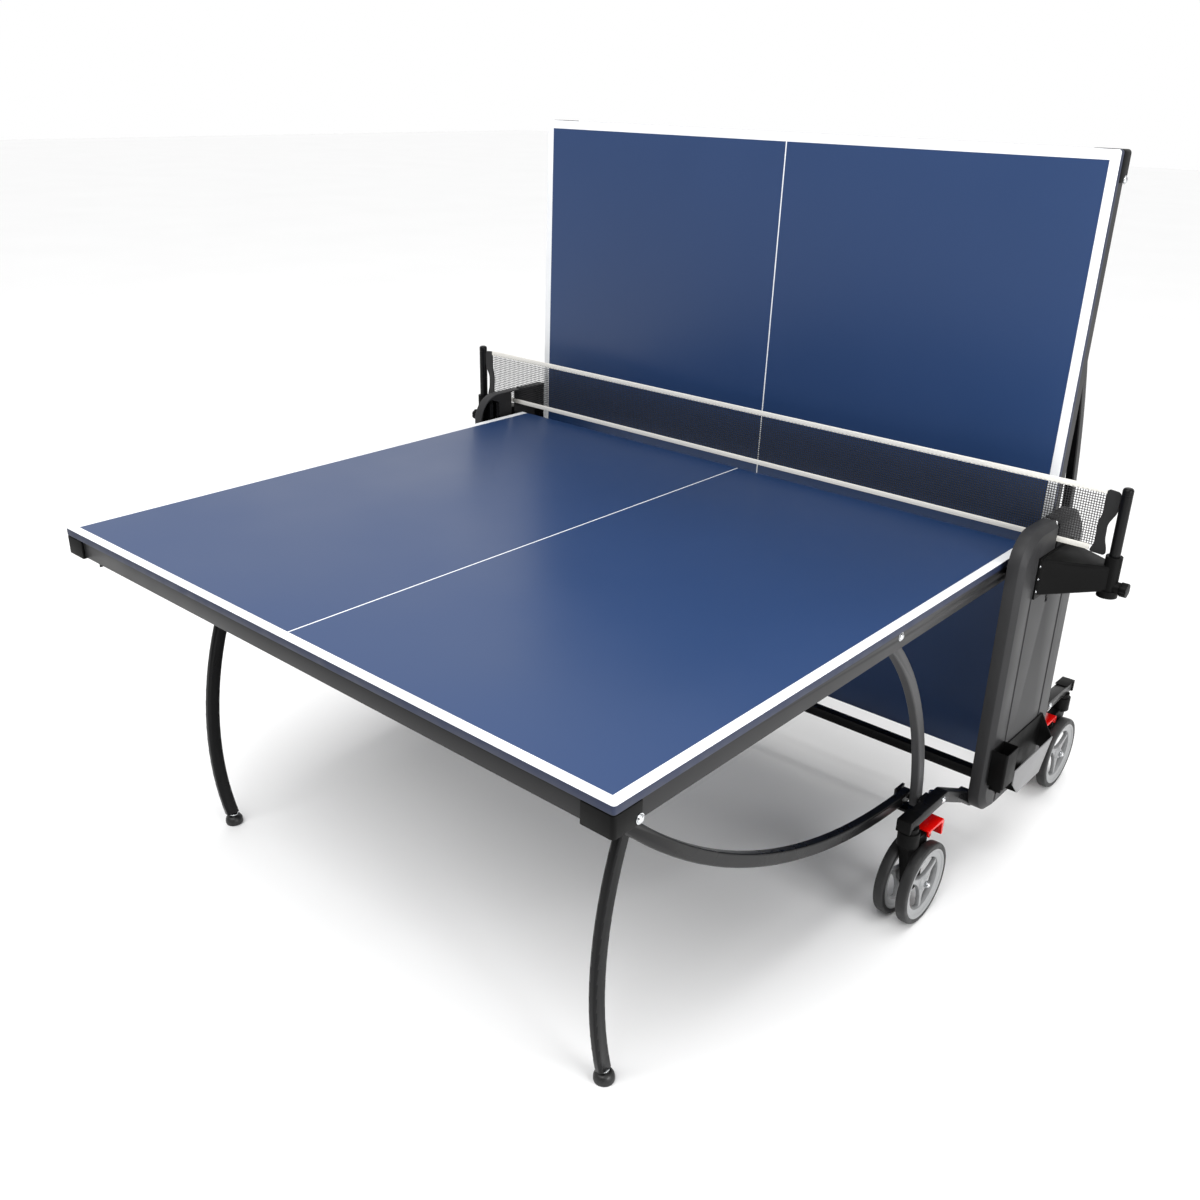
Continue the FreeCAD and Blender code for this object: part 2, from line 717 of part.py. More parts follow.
def net_arm():
    """Black bracket on the column's outer face, tapering to the socket of the net post."""
    x0 = COVER_X1
    x1 = NET_POST_X
    ends = [arm_outline(x0, ARM_HALF, 678, 760), arm_outline(x1, ARM_TIP_HALF, 704, 758)]
    arm = Part.makeLoft(ends, True, True)

    def along_arm(edge):
        return abs(edge.tangentAt(edge.FirstParameter).x) > 0.8

    arm = round_edges(arm, 6, along_arm)
    flange = box(x0, x0 + 4, -ARM_PLATE_HALF, ARM_PLATE_HALF, 672, 764)
    tongue = box(COVER_X0 + 3, x0 + 1, -5.5, 5.5, 650, 750)
    socket = rod_z(x1, 0, 696, 778, 17)
    collar = rod_z(x1, 0, 690, 705, 21)
    hole = rod_z(x1, 0, 730, 779, NET_POST_R)
    seat = rod_x(x1, x1 + 24, 0, KNOB_Z, 13)
    bore = rod_x(x1 + 4, x1 + 30, 0, KNOB_Z, 5 + RUNNING)
    return fuse([arm, flange, tongue, socket, collar, seat]).cut(hole).cut(bore)


def net_post():
    post = rod_z(NET_POST_X, 0, 730, NET_POST_TOP, NET_POST_R)

    def on_top(edge):
        return is_round(edge) and abs(edge.CenterOfMass.z - NET_POST_TOP) < 0.1

    return round_edges(post, 3, on_top)


def net_knob():
    """Screw that clamps the post: knurled head and stem."""
    head = rod_x(NET_POST_X + 25, NET_POST_X + 39, 0, KNOB_Z, 15)
    stem = rod_x(NET_POST_X + 8, NET_POST_X + 26, 0, KNOB_Z, 5)
    for i in range(6):
        angle = math.radians(60 * i)
        y, z = 17 * math.cos(angle), KNOB_Z + 17 * math.sin(angle)
        head = head.cut(rod_x(NET_POST_X + 24.5, NET_POST_X + 40, y, z, 3.5))
    return fuse([head, stem])


def net_pocket():
    """Black end of the net, hollowed beside the post, where it clears the arm's socket."""
    x0, x1 = POCKET_X, NET_POST_X - NET_POST_R - 0.3
    outline = [
        (x0, NET_TOP - 1), (x1, NET_TOP - 4), (x1, 868), (x1 - 16, 840), (x1 - 14, 806),
        (x1 - 8, 788), (x1 - 8, NET_BOTTOM - 5),
        (x0 - 15, NET_BOTTOM - 3), (x0 - 5, 800), (x0 - 8, 836), (x0, 868),
    ]
    return section(outline, -NET_THICK, NET_THICK)


def write_net():
    put("net_arms", both_sides([net_arm()]))
    put("net_posts", both_sides([net_post()]))
    knob = net_knob()
    put("net_knob_right", [knob])
    put("net_knob_left", [mirror_x(knob)])
    put("net_pockets", both_sides([net_pocket()]))
    half = NET_THICK / 2
    inner = POCKET_X - 15
    put("net_mesh", [box(-inner, inner, -half, half, NET_BOTTOM + TAPE, NET_TOP - TAPE)])
    half += 1
    put("net_tape", [box(-POCKET_X, POCKET_X, -half, half, NET_TOP - TAPE, NET_TOP)])
    put("net_bottom_cord", [box(-inner, inner, -half, half, NET_BOTTOM, NET_BOTTOM + TAPE)])


# Casters. Built for the near right corner turned to the +Y side, then mirrored


def caster_fork():
    """Web between the two wheels, with the axle boss, the swivel head and the pedal's pin."""
    y, z = AXLE_Y, WHEEL_R
    x0, x1 = CASTER_X - 11, CASTER_X + 11
    py, pz = PEDAL_PIVOT
    outline = [
        (y - 25, z), (py - 5, pz - 2), (py + 4, pz + 5.5),
        (STEM_Y - 20, 204), (STEM_Y + 20, 204), (y + 25, z),
    ]
    web = plate(outline, x0, x1)
    boss = rod_x(x0, x1, y, z, 26)
    head = rod_z(CASTER_X, STEM_Y, 198, 232, 23)
    race = rod_z(CASTER_X, STEM_Y, 230, BEAM_TOP - BEAM_DEPTH - 0.4, 19)
    pin = rod_x(CASTER_X - PEDAL_HALF, CASTER_X + PEDAL_HALF, py, pz, 3)
    bore = rod_x(x0 - 1, x1 + 1, y, z, AXLE_R + RUNNING)
    return fuse([web, boss, head, race, pin]).cut(bore)


def polar(reach, degrees):
    return reach * math.cos(math.radians(degrees)), reach * math.sin(math.radians(degrees))


def spoke_window(angle, x0, x1):
    """Opening between two spokes of a rim."""
    ring = rod_x(x0, x1, 0, 0, WINDOW_R).cut(rod_x(x0, x1, 0, 0, 26))
    wedge = plate([(0, 0), polar(90, angle - 44), polar(144, angle), polar(90, angle + 44)], x0, x1)
    return ring.common(wedge)


def wheel_starts():
    """Inner end of each of the two wheels along X."""
    return CASTER_X - WHEEL_GAP / 2 - TYRE_WIDTH, CASTER_X + WHEEL_GAP / 2


def caster_wheels():
    """Two spoked rims on their axle."""
    rims = []
    for x0 in wheel_starts():
        x1 = x0 + TYRE_WIDTH
        rim = rod_x(x0, x1, 0, 0, RIM_R)
        dish_start = x1 - 6 if x0 > CASTER_X else x0
        dish = rod_x(dish_start, dish_start + 6, 0, 0, WINDOW_R + 4)
        boss = rod_x(x0, x1, 0, 0, 24)
        rim = rim.cut(dish.cut(boss))
        for i in range(3):
            rim = rim.cut(spoke_window(90 + 120 * i, x0 - 1, x1 + 1))
        rims.append(rim)
    reach = WHEEL_GAP / 2 + TYRE_WIDTH + 3
    axle = rod_x(CASTER_X - reach, CASTER_X + reach, 0, 0, AXLE_R)
    wheels = fuse(rims + [axle])
    wheels.translate(vec(0, AXLE_Y, WHEEL_R))
    return wheels


def caster_tyres():
    tyres = []
    for x0 in wheel_starts():
        tyre = rod_x(x0, x0 + TYRE_WIDTH, AXLE_Y, WHEEL_R, WHEEL_R)
        tyre = round_edges(tyre, 5, is_round)
        tyres.append(tyre.cut(rod_x(x0 - 1, x0 + TYRE_WIDTH + 1, AXLE_Y, WHEEL_R, RIM_R)))
    return tyres


def brake_pedal():
    """Lever on the net side of the fork. Pressing it down brings it to the tyres."""
    y, z = PEDAL_PIVOT
    x0, x1 = CASTER_X - PEDAL_HALF, CASTER_X + PEDAL_HALF
    lever = plate(
        [(y + 6, z + 11), (y + 6, z + 7), (y - 58, z + 3), (y - 59, z - 28), (y - 65, z - 29),
         (y - 67, z + 6), (y - 63, z + 11)],
        x0, x1,
    )
    ears = []
    for ex in (x0, x1 - 5):
        ear = fuse([rod_x(ex, ex + 5, y, z, 6), box(ex, ex + 5, y - 6, y + 6, z, z + 8)])
        ears.append(ear.cut(rod_x(ex - 1, ex + 6, y, z, 3 + RUNNING)))
    return fuse([lever] + ears)


def corner(shape, side, end):
    """A far right piece at another corner of the undercarriage."""
    if side == "left":
        shape = mirror_x(shape)
    if end == "near":
        shape = mirror_y(shape)
    return shape


def write_casters():
    pieces = (
        ("fork", [caster_fork()]), ("wheels", [caster_wheels()]),
        ("tyres", caster_tyres()), ("pedal", [brake_pedal()]),
    )
    for end in ("near", "far"):
        for side in ("right", "left"):
            for piece, shapes in pieces:
                put("caster_%s_%s_%s" % (end, side, piece), [corner(s, side, end) for s in shapes])


# Holders on the columns


def bat_holder():
    """Open pocket: high back, sloping sides and a floor."""
    x0, x1 = COVER_X1, HOLDER_X1 - HOLDER_WALL
    wall = HOLDER_WALL
    back = box(x0, x0 + wall, HOLDER_Y0, HOLDER_Y1, HOLDER_Z0, HOLDER_TOP)
    floor = box(x0, x1, HOLDER_Y0 + HOLDER_CUT, HOLDER_Y1 - HOLDER_SLANT, HOLDER_Z0, HOLDER_Z0 + wall)
    low = HOLDER_Z0 + HOLDER_CUT
    cheek = [(x0, low), (x1, low), (x1, HOLDER_FRONT), (x0 + wall, HOLDER_TOP), (x0, HOLDER_TOP)]
    sides = [section(cheek, HOLDER_Y0, HOLDER_Y0 + wall), section(cheek, HOLDER_Y1 - wall, HOLDER_Y1)]
    return fuse([back, floor] + sides)


def holder_front():
    """Grey plate across the front of the bat holder, slanted at both lower corners."""
    outline = [
        (HOLDER_Y0 + HOLDER_CUT, HOLDER_Z0), (HOLDER_Y1 - HOLDER_SLANT, HOLDER_Z0), (HOLDER_Y1, HOLDER_FRONT),
        (HOLDER_Y0, HOLDER_FRONT), (HOLDER_Y0, HOLDER_Z0 + HOLDER_CUT),
    ]
    return plate(outline, HOLDER_X1 - HOLDER_WALL, HOLDER_X1)


def ball_box():
    """Narrow box beside the bat holder, open at the top, with a rounded front and a clip below."""
    shell = box(COVER_X1, HOLDER_X1, BOX_Y0, BOX_Y1, BOX_Z0, BOX_Z1)

    def at_front(edge):
        return is_upright(edge) and edge.CenterOfMass.x > COVER_X1 + 1

    shell = round_edges(shell, 5, at_front)
    inside = box(COVER_X1 + 2, HOLDER_X1 - 2.5, BOX_Y0 + 2.5, BOX_Y1 - 2.5, BOX_Z0 + 3, BOX_Z1 + 1)
    clip = box(COVER_X1, HOLDER_X1 - 10, BOX_Y0 + 18, BOX_Y1 - 12, BOX_Z0 - 20, BOX_Z0)
    return fuse([shell.cut(inside), clip])


def write_holders():
    put("bat_holders", both_sides([bat_holder()]))
    put("bat_holder_fronts", both_sides([holder_front()]))
    put("ball_boxes", both_sides([ball_box()]))


def main():
    os.makedirs("parts", exist_ok=True)
    write_halves()
    write_undercarriage()
    write_net()
    write_casters()
    write_holders()
    print("fold angle", FOLD_ANGLE, "pin travel", pin_at(0)[1] - pin_at(1)[1])
    print("pivot", PIVOT, "strut", STRUT_LENGTH, STRUT_SWING, "stay", STAY_LENGTH, STAY_SWING)


main()
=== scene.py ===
import json
import math
import bpy
from mathutils import Euler, Matrix, Vector

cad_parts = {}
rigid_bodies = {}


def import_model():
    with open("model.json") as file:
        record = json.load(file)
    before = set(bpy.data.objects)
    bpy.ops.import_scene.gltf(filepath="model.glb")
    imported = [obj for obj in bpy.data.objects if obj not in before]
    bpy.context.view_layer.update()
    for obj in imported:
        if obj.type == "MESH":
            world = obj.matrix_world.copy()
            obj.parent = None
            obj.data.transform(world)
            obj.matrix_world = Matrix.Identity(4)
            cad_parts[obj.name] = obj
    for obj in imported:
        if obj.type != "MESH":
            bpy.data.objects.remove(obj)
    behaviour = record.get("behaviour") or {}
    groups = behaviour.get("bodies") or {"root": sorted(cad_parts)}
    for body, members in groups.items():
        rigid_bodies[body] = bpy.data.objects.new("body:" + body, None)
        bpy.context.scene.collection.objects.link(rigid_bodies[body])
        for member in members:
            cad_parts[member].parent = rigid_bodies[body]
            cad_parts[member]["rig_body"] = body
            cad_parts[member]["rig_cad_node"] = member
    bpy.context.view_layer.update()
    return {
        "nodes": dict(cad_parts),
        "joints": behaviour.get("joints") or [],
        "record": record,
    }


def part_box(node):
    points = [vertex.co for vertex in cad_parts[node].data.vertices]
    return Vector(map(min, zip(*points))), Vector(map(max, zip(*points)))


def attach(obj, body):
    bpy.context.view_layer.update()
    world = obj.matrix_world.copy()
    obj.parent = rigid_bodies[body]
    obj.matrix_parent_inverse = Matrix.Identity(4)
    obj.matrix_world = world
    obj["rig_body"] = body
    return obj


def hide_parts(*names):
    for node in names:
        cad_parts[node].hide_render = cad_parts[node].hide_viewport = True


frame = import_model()

# Folding table tennis table in playback position. Metres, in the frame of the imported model.
# X runs along the net, +Y from the flat half to the folded half, Z up from the floor.

record = frame["record"]
joints = {joint["name"]: joint for joint in frame["joints"]}
bodyOf = {node: body for body, nodes in record["behaviour"]["bodies"].items() for node in nodes}
slotOf = {part["node"]: part["material_slot"] for part in record["subparts"]}


def mm(length):
    return length / 1000


def jointPoint(name):
    return Vector(joints[name]["pos_m"])


netY = jointPoint("net_knob_right_turn").y
foldAngle = math.radians(joints["near_fold"]["range_deg"][1])
legAngle = math.radians(joints["near_leg_fold"]["range_deg"][0])


# Working in Blender by script

def activate(*pieces):
    bpy.ops.object.select_all(action="DESELECT")
    for piece in pieces:
        piece.select_set(True)
    bpy.context.view_layer.objects.active = pieces[0]


def applyPlace(piece):
    activate(piece)
    bpy.ops.object.transform_apply(location=True, rotation=True, scale=True)
    return piece


def editEdges(piece, test):
    activate(piece)
    bpy.context.tool_settings.mesh_select_mode = (False, True, False)
    points = piece.data.vertices
    for face in piece.data.polygons:
        face.select = False
    for edge in piece.data.edges:
        edge.select = test(points[edge.vertices[0]].co, points[edge.vertices[1]].co)
    bpy.ops.object.mode_set(mode="EDIT")


def editAll(piece):
    activate(piece)
    bpy.ops.object.mode_set(mode="EDIT")
    bpy.ops.mesh.select_all(action="SELECT")


def leaveEdit():
    bpy.ops.object.mode_set(mode="OBJECT")


def modify(piece, kind, **settings):
    activate(piece)
    modifier = piece.modifiers.new(kind.title(), kind)
    for key, value in settings.items():
        setattr(modifier, key, value)
    bpy.ops.object.modifier_apply(modifier=modifier.name)


def turnOutwards(piece):
    editAll(piece)
    bpy.ops.mesh.remove_doubles(threshold=mm(0.01))
    bpy.ops.mesh.normals_make_consistent(inside=False)
    leaveEdit()


def softenEdges(piece, width, segments=2, angle=32):
    modify(
        piece, "BEVEL", width=mm(width), segments=segments, limit_method="ANGLE",
        angle_limit=math.radians(angle), use_clamp_overlap=True,
    )
    smooth(piece)


def smooth(piece, angle=38):
    activate(piece)
    bpy.ops.object.shade_smooth_by_angle(angle=math.radians(angle))


def joinPieces(pieces):
    activate(*pieces)
    bpy.ops.object.join()
    return bpy.context.object


def duplicate(piece):
    twin = piece.copy()
    twin.data = piece.data.copy()
    bpy.context.scene.collection.objects.link(twin)
    return twin


def addBox(low, high):
    low, high = Vector(low), Vector(high)
    bpy.ops.mesh.primitive_cube_add(size=1, location=(low + high) / 2, scale=high - low)
    return applyPlace(bpy.context.object)


def addRod(start, axis, length, radius, sides=48):
    turn = Vector((0, 0, 1)).rotation_difference(Vector(axis)).to_euler()
    middle = Vector(start) + Vector(axis) * length / 2
    bpy.ops.mesh.primitive_cylinder_add(
        vertices=sides, radius=radius, depth=length, location=middle, rotation=turn,
    )
    return applyPlace(bpy.context.object)


def addOutline(points):
    # a flat face through the points, in their order
    bpy.ops.mesh.primitive_circle_add(vertices=len(points), fill_type="NGON")
    piece = bpy.context.object
    for vertex, point in zip(piece.data.vertices, points):
        vertex.co = point
    return piece


def turnOutline(points, centre, axis, steps=48):
    # a closed outline, turned all the way round the axis
    piece = addOutline(points)
    editAll(piece)
    bpy.ops.mesh.delete(type="ONLY_FACE")
    bpy.ops.mesh.select_all(action="SELECT")
    bpy.ops.mesh.spin(steps=steps, angle=2 * math.pi, center=centre, axis=axis)
    leaveEdit()
    turnOutwards(piece)
    return piece


def turnOnAxis(profile, start, axis, steps=32):
    # profile is (radius, distance along the axis) in millimetres, from the axis and back to it
    axis = Vector(axis).normalized()
    side = axis.orthogonal().normalized()
    points = [Vector(start) + side * mm(r) + axis * mm(a) for r, a in profile]
    return turnOutline(points, start, axis, steps)


def mirrored(piece, axis, plane=0):
    # a twin on the other side of the plane, with its faces turned outwards again
    twin = duplicate(piece)
    twin.scale[axis] = -1
    twin.location[axis] = 2 * plane
    applyPlace(twin)
    editAll(twin)
    bpy.ops.mesh.normals_make_consistent(inside=False)
    leaveEdit()
    return twin


def replaceBy(twin, piece):
    bpy.data.objects.remove(piece)
    return twin


def farTwin(piece, joint, angle):
    # the same piece on the folded half: mirrored across the net and turned about its joint
    nearPivot, farPivot = jointPoint("near_" + joint), jointPoint("far_" + joint)
    pivot = Vector((0, 2 * netY - nearPivot.y, nearPivot.z))
    twin = mirrored(piece, 1, netY)
    turn = Euler((angle, 0, 0))
    twin.rotation_euler = turn
    twin.location = Vector((0, farPivot.y, farPivot.z)) - turn.to_matrix() @ pivot
    return applyPlace(twin)


# Finishes

def linear(hexCode):
    parts = [int(hexCode[i:i + 2], 16) / 255 for i in (1, 3, 5)]
    return [c / 12.92 if c <= 0.04045 else ((c + 0.055) / 1.055) ** 2.4 for c in parts] + [1]


def addNode(tree, kind, links=None, values=None, **settings):
    node = tree.nodes.new(kind)
    for key, value in settings.items():
        setattr(node, key, value)
    for key, value in (values or {}).items():
        node.inputs[key].default_value = value
    for key, source in (links or {}).items():
        tree.links.new(source, node.inputs[key])
    return node


def startMaterial(name, **values):
    material = bpy.data.materials.new(name)
    material.use_nodes = True
    tree = material.node_tree
    tree.nodes.clear()
    shader = addNode(tree, "ShaderNodeBsdfPrincipled", values=values)
    addNode(tree, "ShaderNodeOutputMaterial", links={"Surface": shader.outputs[0]})
    coordinates = addNode(tree, "ShaderNodeTexCoord").outputs["Object"]
    return material, tree, shader, coordinates


def noiseAt(tree, coordinates, sizeMm, detail=2.0):
    values = {"Scale": 1000 / sizeMm, "Detail": detail}
    return addNode(tree, "ShaderNodeTexNoise", {"Vector": coordinates}, values).outputs["Fac"]


def mapTo(tree, source, low, high, start=0.3, end=0.7):
    values = {"From Min": start, "From Max": end, "To Min": low, "To Max": high}
    return addNode(tree, "ShaderNodeMapRange", {"Value": source}, values).outputs["Result"]


def mixColours(tree, factor, dark, light):
    values = {6: linear(dark) if isinstance(dark, str) else (0, 0, 0, 1), 7: linear(light)}
    node = addNode(tree, "ShaderNodeMix", {0: factor}, values, data_type="RGBA")
    if not isinstance(dark, str):
        tree.links.new(dark, node.inputs[6])
    return node.outputs[2]


def addBump(tree, shader, height, heightMm):
    values = {"Strength": 1.0, "Distance": mm(heightMm)}
    bump = addNode(tree, "ShaderNodeBump", {"Height": height}, values)
    tree.links.new(bump.outputs["Normal"], shader.inputs["Normal"])


def grainedMaterial(name, look):
    # two close tones in large soft patches, a roughness that varies, and a fine grain in relief
    values = {key: look[key] for key in look if key[0].isupper()}
    material, tree, shader, coordinates = startMaterial(name, **values)
    patches = noiseAt(tree, coordinates, look["patchMm"])
    grain = noiseAt(tree, coordinates, look["grainMm"], 3.0)
    tree.links.new(mixColours(tree, patches, look["dark"], look["light"]), shader.inputs["Base Color"])
    low, high = look["roughness"]
    tree.links.new(mapTo(tree, patches, low, high), shader.inputs["Roughness"])
    addBump(tree, shader, grain, look["reliefMm"])
    return material


# acrylic paint rolled on to MDF: a satin blue with a fine sandy grain that keeps the ball from sliding
bluePaintLook = {
    "dark": "#213960", "light": "#253d66", "roughness": (0.34, 0.42), "patchMm": 420,
    "grainMm": 2.2, "reliefMm": 0.02, "IOR": 1.42,
}
# the same paint in white, printed in lines over the blue
linePaintLook = {
    "dark": "#e6e8ea", "light": "#f2f3f4", "roughness": (0.38, 0.48), "patchMm": 60,
    "grainMm": 2.2, "reliefMm": 0.02, "IOR": 1.45,
}
# sealed edge of the board
edgePaintLook = {
    "dark": "#101a33", "light": "#16223f", "roughness": (0.45, 0.6), "patchMm": 40,
    "grainMm": 1.6, "reliefMm": 0.03, "IOR": 1.45,
}
# back of the board: thin dark sealer with the fibres of the MDF showing
backPaintLook = {
    "dark": "#101216", "light": "#191c22", "roughness": (0.5, 0.7), "patchMm": 90,
    "grainMm": 3.0, "reliefMm": 0.05, "IOR": 1.45,
}
# powder coat on steel: near black, smooth satin with a slight orange peel
apronLook = {
    "dark": "#202021", "light": "#272728", "roughness": (0.3, 0.4), "patchMm": 120,
    "grainMm": 3.5, "reliefMm": 0.025, "IOR": 1.5,
    "Specular IOR Level": 0.14,
}
# the struts: the same black powder coat painted lighter grey all over, a painted highlight for the light on
# their outer faces
strutPaintedHighlightLook = {
    "dark": "#3a3a3b", "light": "#444445", "roughness": (0.3, 0.4), "patchMm": 120,
    "grainMm": 3.5, "reliefMm": 0.025, "IOR": 1.5,
    "Specular IOR Level": 0.14,
}
blackSteelLook = {
    "dark": "#080809", "light": "#0e0e0f", "roughness": (0.24, 0.34), "patchMm": 90,
    "grainMm": 3.0, "reliefMm": 0.02, "IOR": 1.5,
    "Specular IOR Level": 0.14,
}
# ABS moulded in a spark-eroded tool: dull black with a fine leathery grain
blackPlasticLook = {
    "dark": "#050505", "light": "#090909", "roughness": (0.42, 0.55), "patchMm": 50,
    "grainMm": 1.4, "reliefMm": 0.06, "IOR": 1.46,
    "Specular IOR Level": 0.1,
}
coverLook = {
    "dark": "#2c2c2d", "light": "#333334", "roughness": (0.36, 0.44), "patchMm": 160,
    "grainMm": 1.8, "reliefMm": 0.035, "IOR": 1.5,
    "Specular IOR Level": 0.12,
}
greyPlasticLook = {
    "dark": "#717172", "light": "#7a7a7b", "roughness": (0.36, 0.46), "patchMm": 70,
    "grainMm": 1.4, "reliefMm": 0.04, "IOR": 1.46,
}
# glass-filled nylon of the rims: light grey with a slightly dusty face
rimLook = {
    "dark": "#858687", "light": "#919293", "roughness": (0.34, 0.46), "patchMm": 30,
    "grainMm": 1.2, "reliefMm": 0.03, "IOR": 1.5,
}
# soft PVC tread: black and dull, slightly uneven in tone
tyreLook = {
    "dark": "#0d0d0e", "light": "#171718", "roughness": (0.45, 0.65), "patchMm": 18,
    "grainMm": 1.5, "reliefMm": 0.08, "IOR": 1.5,
}
footRubberLook = {
    "dark": "#0a0a0a", "light": "#121212", "roughness": (0.4, 0.55), "patchMm": 16,
    "grainMm": 1.0, "reliefMm": 0.05, "IOR": 1.5,
}
# glossy moulded ABS in signal red
redPlasticLook = {
    "dark": "#c80603", "light": "#d80a05", "roughness": (0.18, 0.26), "patchMm": 20,
    "grainMm": 2.0, "reliefMm": 0.01, "IOR": 1.5,
}
# bright zinc and chrome plating on the fasteners
chromeLook = {
    "dark": "#b9bbbd", "light": "#d6d8da", "roughness": (0.1, 0.2), "patchMm": 6,
    "grainMm": 1.5, "reliefMm": 0.01, "Metallic": 1.0,
}


def threadMaterial():
    # polyester thread: black, with a lighter band painted in every couple of millimetres as a highlight on
    # the twist, and the twist in relief
    twistMm = 2.0
    material, tree, shader, coordinates = startMaterial("polyesterThread", Roughness=0.62)
    values = {"Scale": 1000 / twistMm / (2 * math.pi), "Distortion": 1.5}
    wave = addNode(tree, "ShaderNodeTexWave", {"Vector": coordinates}, values, bands_direction="DIAGONAL")
    # lighter bands in the colour: painted highlights on the twist
    tree.links.new(mixColours(tree, wave.outputs["Fac"], "#060607", "#151517"), shader.inputs["Base Color"])
    addBump(tree, shader, wave.outputs["Fac"], 0.12)
    return material


def wovenMaterial(name, dark, light, threadMm, stitchSpan):
    # plain weave: warp and weft ribs, with a row of stitches between two heights, low and high
    material, tree, shader, coordinates = startMaterial(name, Roughness=0.78)
    shader.inputs["Sheen Weight"].default_value = 0.15
    scale = 1000 / threadMm / (2 * math.pi)
    ribs = [
        addNode(tree, "ShaderNodeTexWave", {"Vector": coordinates}, {"Scale": scale}, bands_direction=way)
        for way in ("X", "Z")
    ]
    weave = addNode(
        tree, "ShaderNodeMath", {0: ribs[0].outputs["Fac"], 1: ribs[1].outputs["Fac"]}, operation="MULTIPLY"
    ).outputs[0]
    base = mixColours(tree, mapTo(tree, weave, 0, 1, 0.0, 0.6), dark, light)
    if stitchSpan:
        stitchMm = 5.0
        height = addNode(tree, "ShaderNodeSeparateXYZ", {"Vector": coordinates}).outputs["Z"]
        above = addNode(tree, "ShaderNodeMath", {0: height}, {1: stitchSpan[0]}, operation="GREATER_THAN")
        below = addNode(tree, "ShaderNodeMath", {0: height}, {1: stitchSpan[1]}, operation="LESS_THAN")
        values = {"Scale": 1000 / stitchMm / (2 * math.pi)}
        dash = addNode(tree, "ShaderNodeTexWave", {"Vector": coordinates}, values, bands_direction="X")
        dash = addNode(tree, "ShaderNodeMath", {0: dash.outputs["Fac"]}, {1: 0.45}, operation="GREATER_THAN")
        between = {0: above.outputs[0], 1: below.outputs[0]}
        row = addNode(tree, "ShaderNodeMath", between, operation="MULTIPLY")
        row = addNode(tree, "ShaderNodeMath", {0: row.outputs[0], 1: dash.outputs[0]}, operation="MULTIPLY")
        base = mixColours(tree, row.outputs[0], base, "#8d8a82")
    tree.links.new(base, shader.inputs["Base Color"])
    addBump(tree, shader, weave, 0.15)
    return material


tapeLow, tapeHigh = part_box("net_tape")
tapeStitches = (tapeLow.z + mm(1), tapeLow.z + mm(2))
paints = {
    "blue": grainedMaterial("satinBlueTablePaint", bluePaintLook),
    "line": grainedMaterial("whiteLinePaint", linePaintLook),
    "edge": grainedMaterial("sealedBoardEdge", edgePaintLook),
    "back": grainedMaterial("sealedFibreboardBack", backPaintLook),
    "strut": grainedMaterial("strutPowderCoatPaintedHighlight", strutPaintedHighlightLook),
}
finishes = {
    "board": paints["blue"],
    "apron_steel": grainedMaterial("satinPowderCoat", apronLook),
    "black_steel": grainedMaterial("blackPowderCoat", blackSteelLook),
    "black_plastic": grainedMaterial("grainedBlackAbs", blackPlasticLook),
    "cover_plastic": grainedMaterial("graphiteMouldedCover", coverLook),
    "grey_plastic": grainedMaterial("greyMouldedAbs", greyPlasticLook),
    "rim": grainedMaterial("greyFilledNylon", rimLook),
    "tyre": grainedMaterial("blackPvcTread", tyreLook),
    "rubber_foot": grainedMaterial("mouldedFootRubber", footRubberLook),
    "red_plastic": grainedMaterial("glossyRedAbs", redPlasticLook),
    "chrome": grainedMaterial("chromePlatedSteel", chromeLook),
    "net_mesh": threadMaterial(),
    "white_tape": wovenMaterial("wovenCottonTape", "#cfccc4", "#f4f2ec", 1.2, tapeStitches),
    "black_fabric": wovenMaterial("blackNylonWeb", "#050506", "#111113", 1.4, None),
}
print("finishes ready:", len(finishes) + len(paints) - 1)


def give(piece, slotName):
    piece.data.materials.clear()
    piece.data.materials.append(finishes[slotName])
    for face in piece.data.polygons:
        face.material_index = 0


def finishPiece(piece, name, body, slotName, nodes=()):
    piece.name = name
    piece.data.name = name
    give(piece, slotName)
    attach(piece, body)
    if nodes:
        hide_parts(*nodes)
    return piece


# Camera: level with the eye of someone a step away from the right-hand corner

cameraSettings = {
    "place": (1.61005, -1.93405, 1.64376), "azimuth": 40.83, "elevation": 23.75, "roll": 1.36,
    "lens": 35.373, "sensor": 36,
}


def makeCamera():
    azimuth, elevation, roll = [math.radians(cameraSettings[k]) for k in ("azimuth", "elevation", "roll")]
    ahead = Vector((-math.sin(azimuth), math.cos(azimuth), 0)) * math.cos(elevation)
    ahead.z = -math.sin(elevation)
    levelRight = ahead.cross(Vector((0, 0, 1))).normalized()
    levelUp = levelRight.cross(ahead)
    right = levelRight * math.cos(roll) + levelUp * math.sin(roll)
    up = levelUp * math.cos(roll) - levelRight * math.sin(roll)
    camera = bpy.data.objects.new("camera", bpy.data.cameras.new("camera"))
    camera.data.sensor_width = cameraSettings["sensor"]
    camera.data.lens = cameraSettings["lens"]
    axes = Matrix((right, up, -ahead)).transposed().to_4x4()
    camera.matrix_world = Matrix.Translation(cameraSettings["place"]) @ axes
    bpy.context.scene.collection.objects.link(camera)
    bpy.context.scene.camera = camera


makeCamera()


# Playing boards

boardSizes = {"line": 20, "centreLine": 3, "cornerRadius": 6, "rim": 0.8}


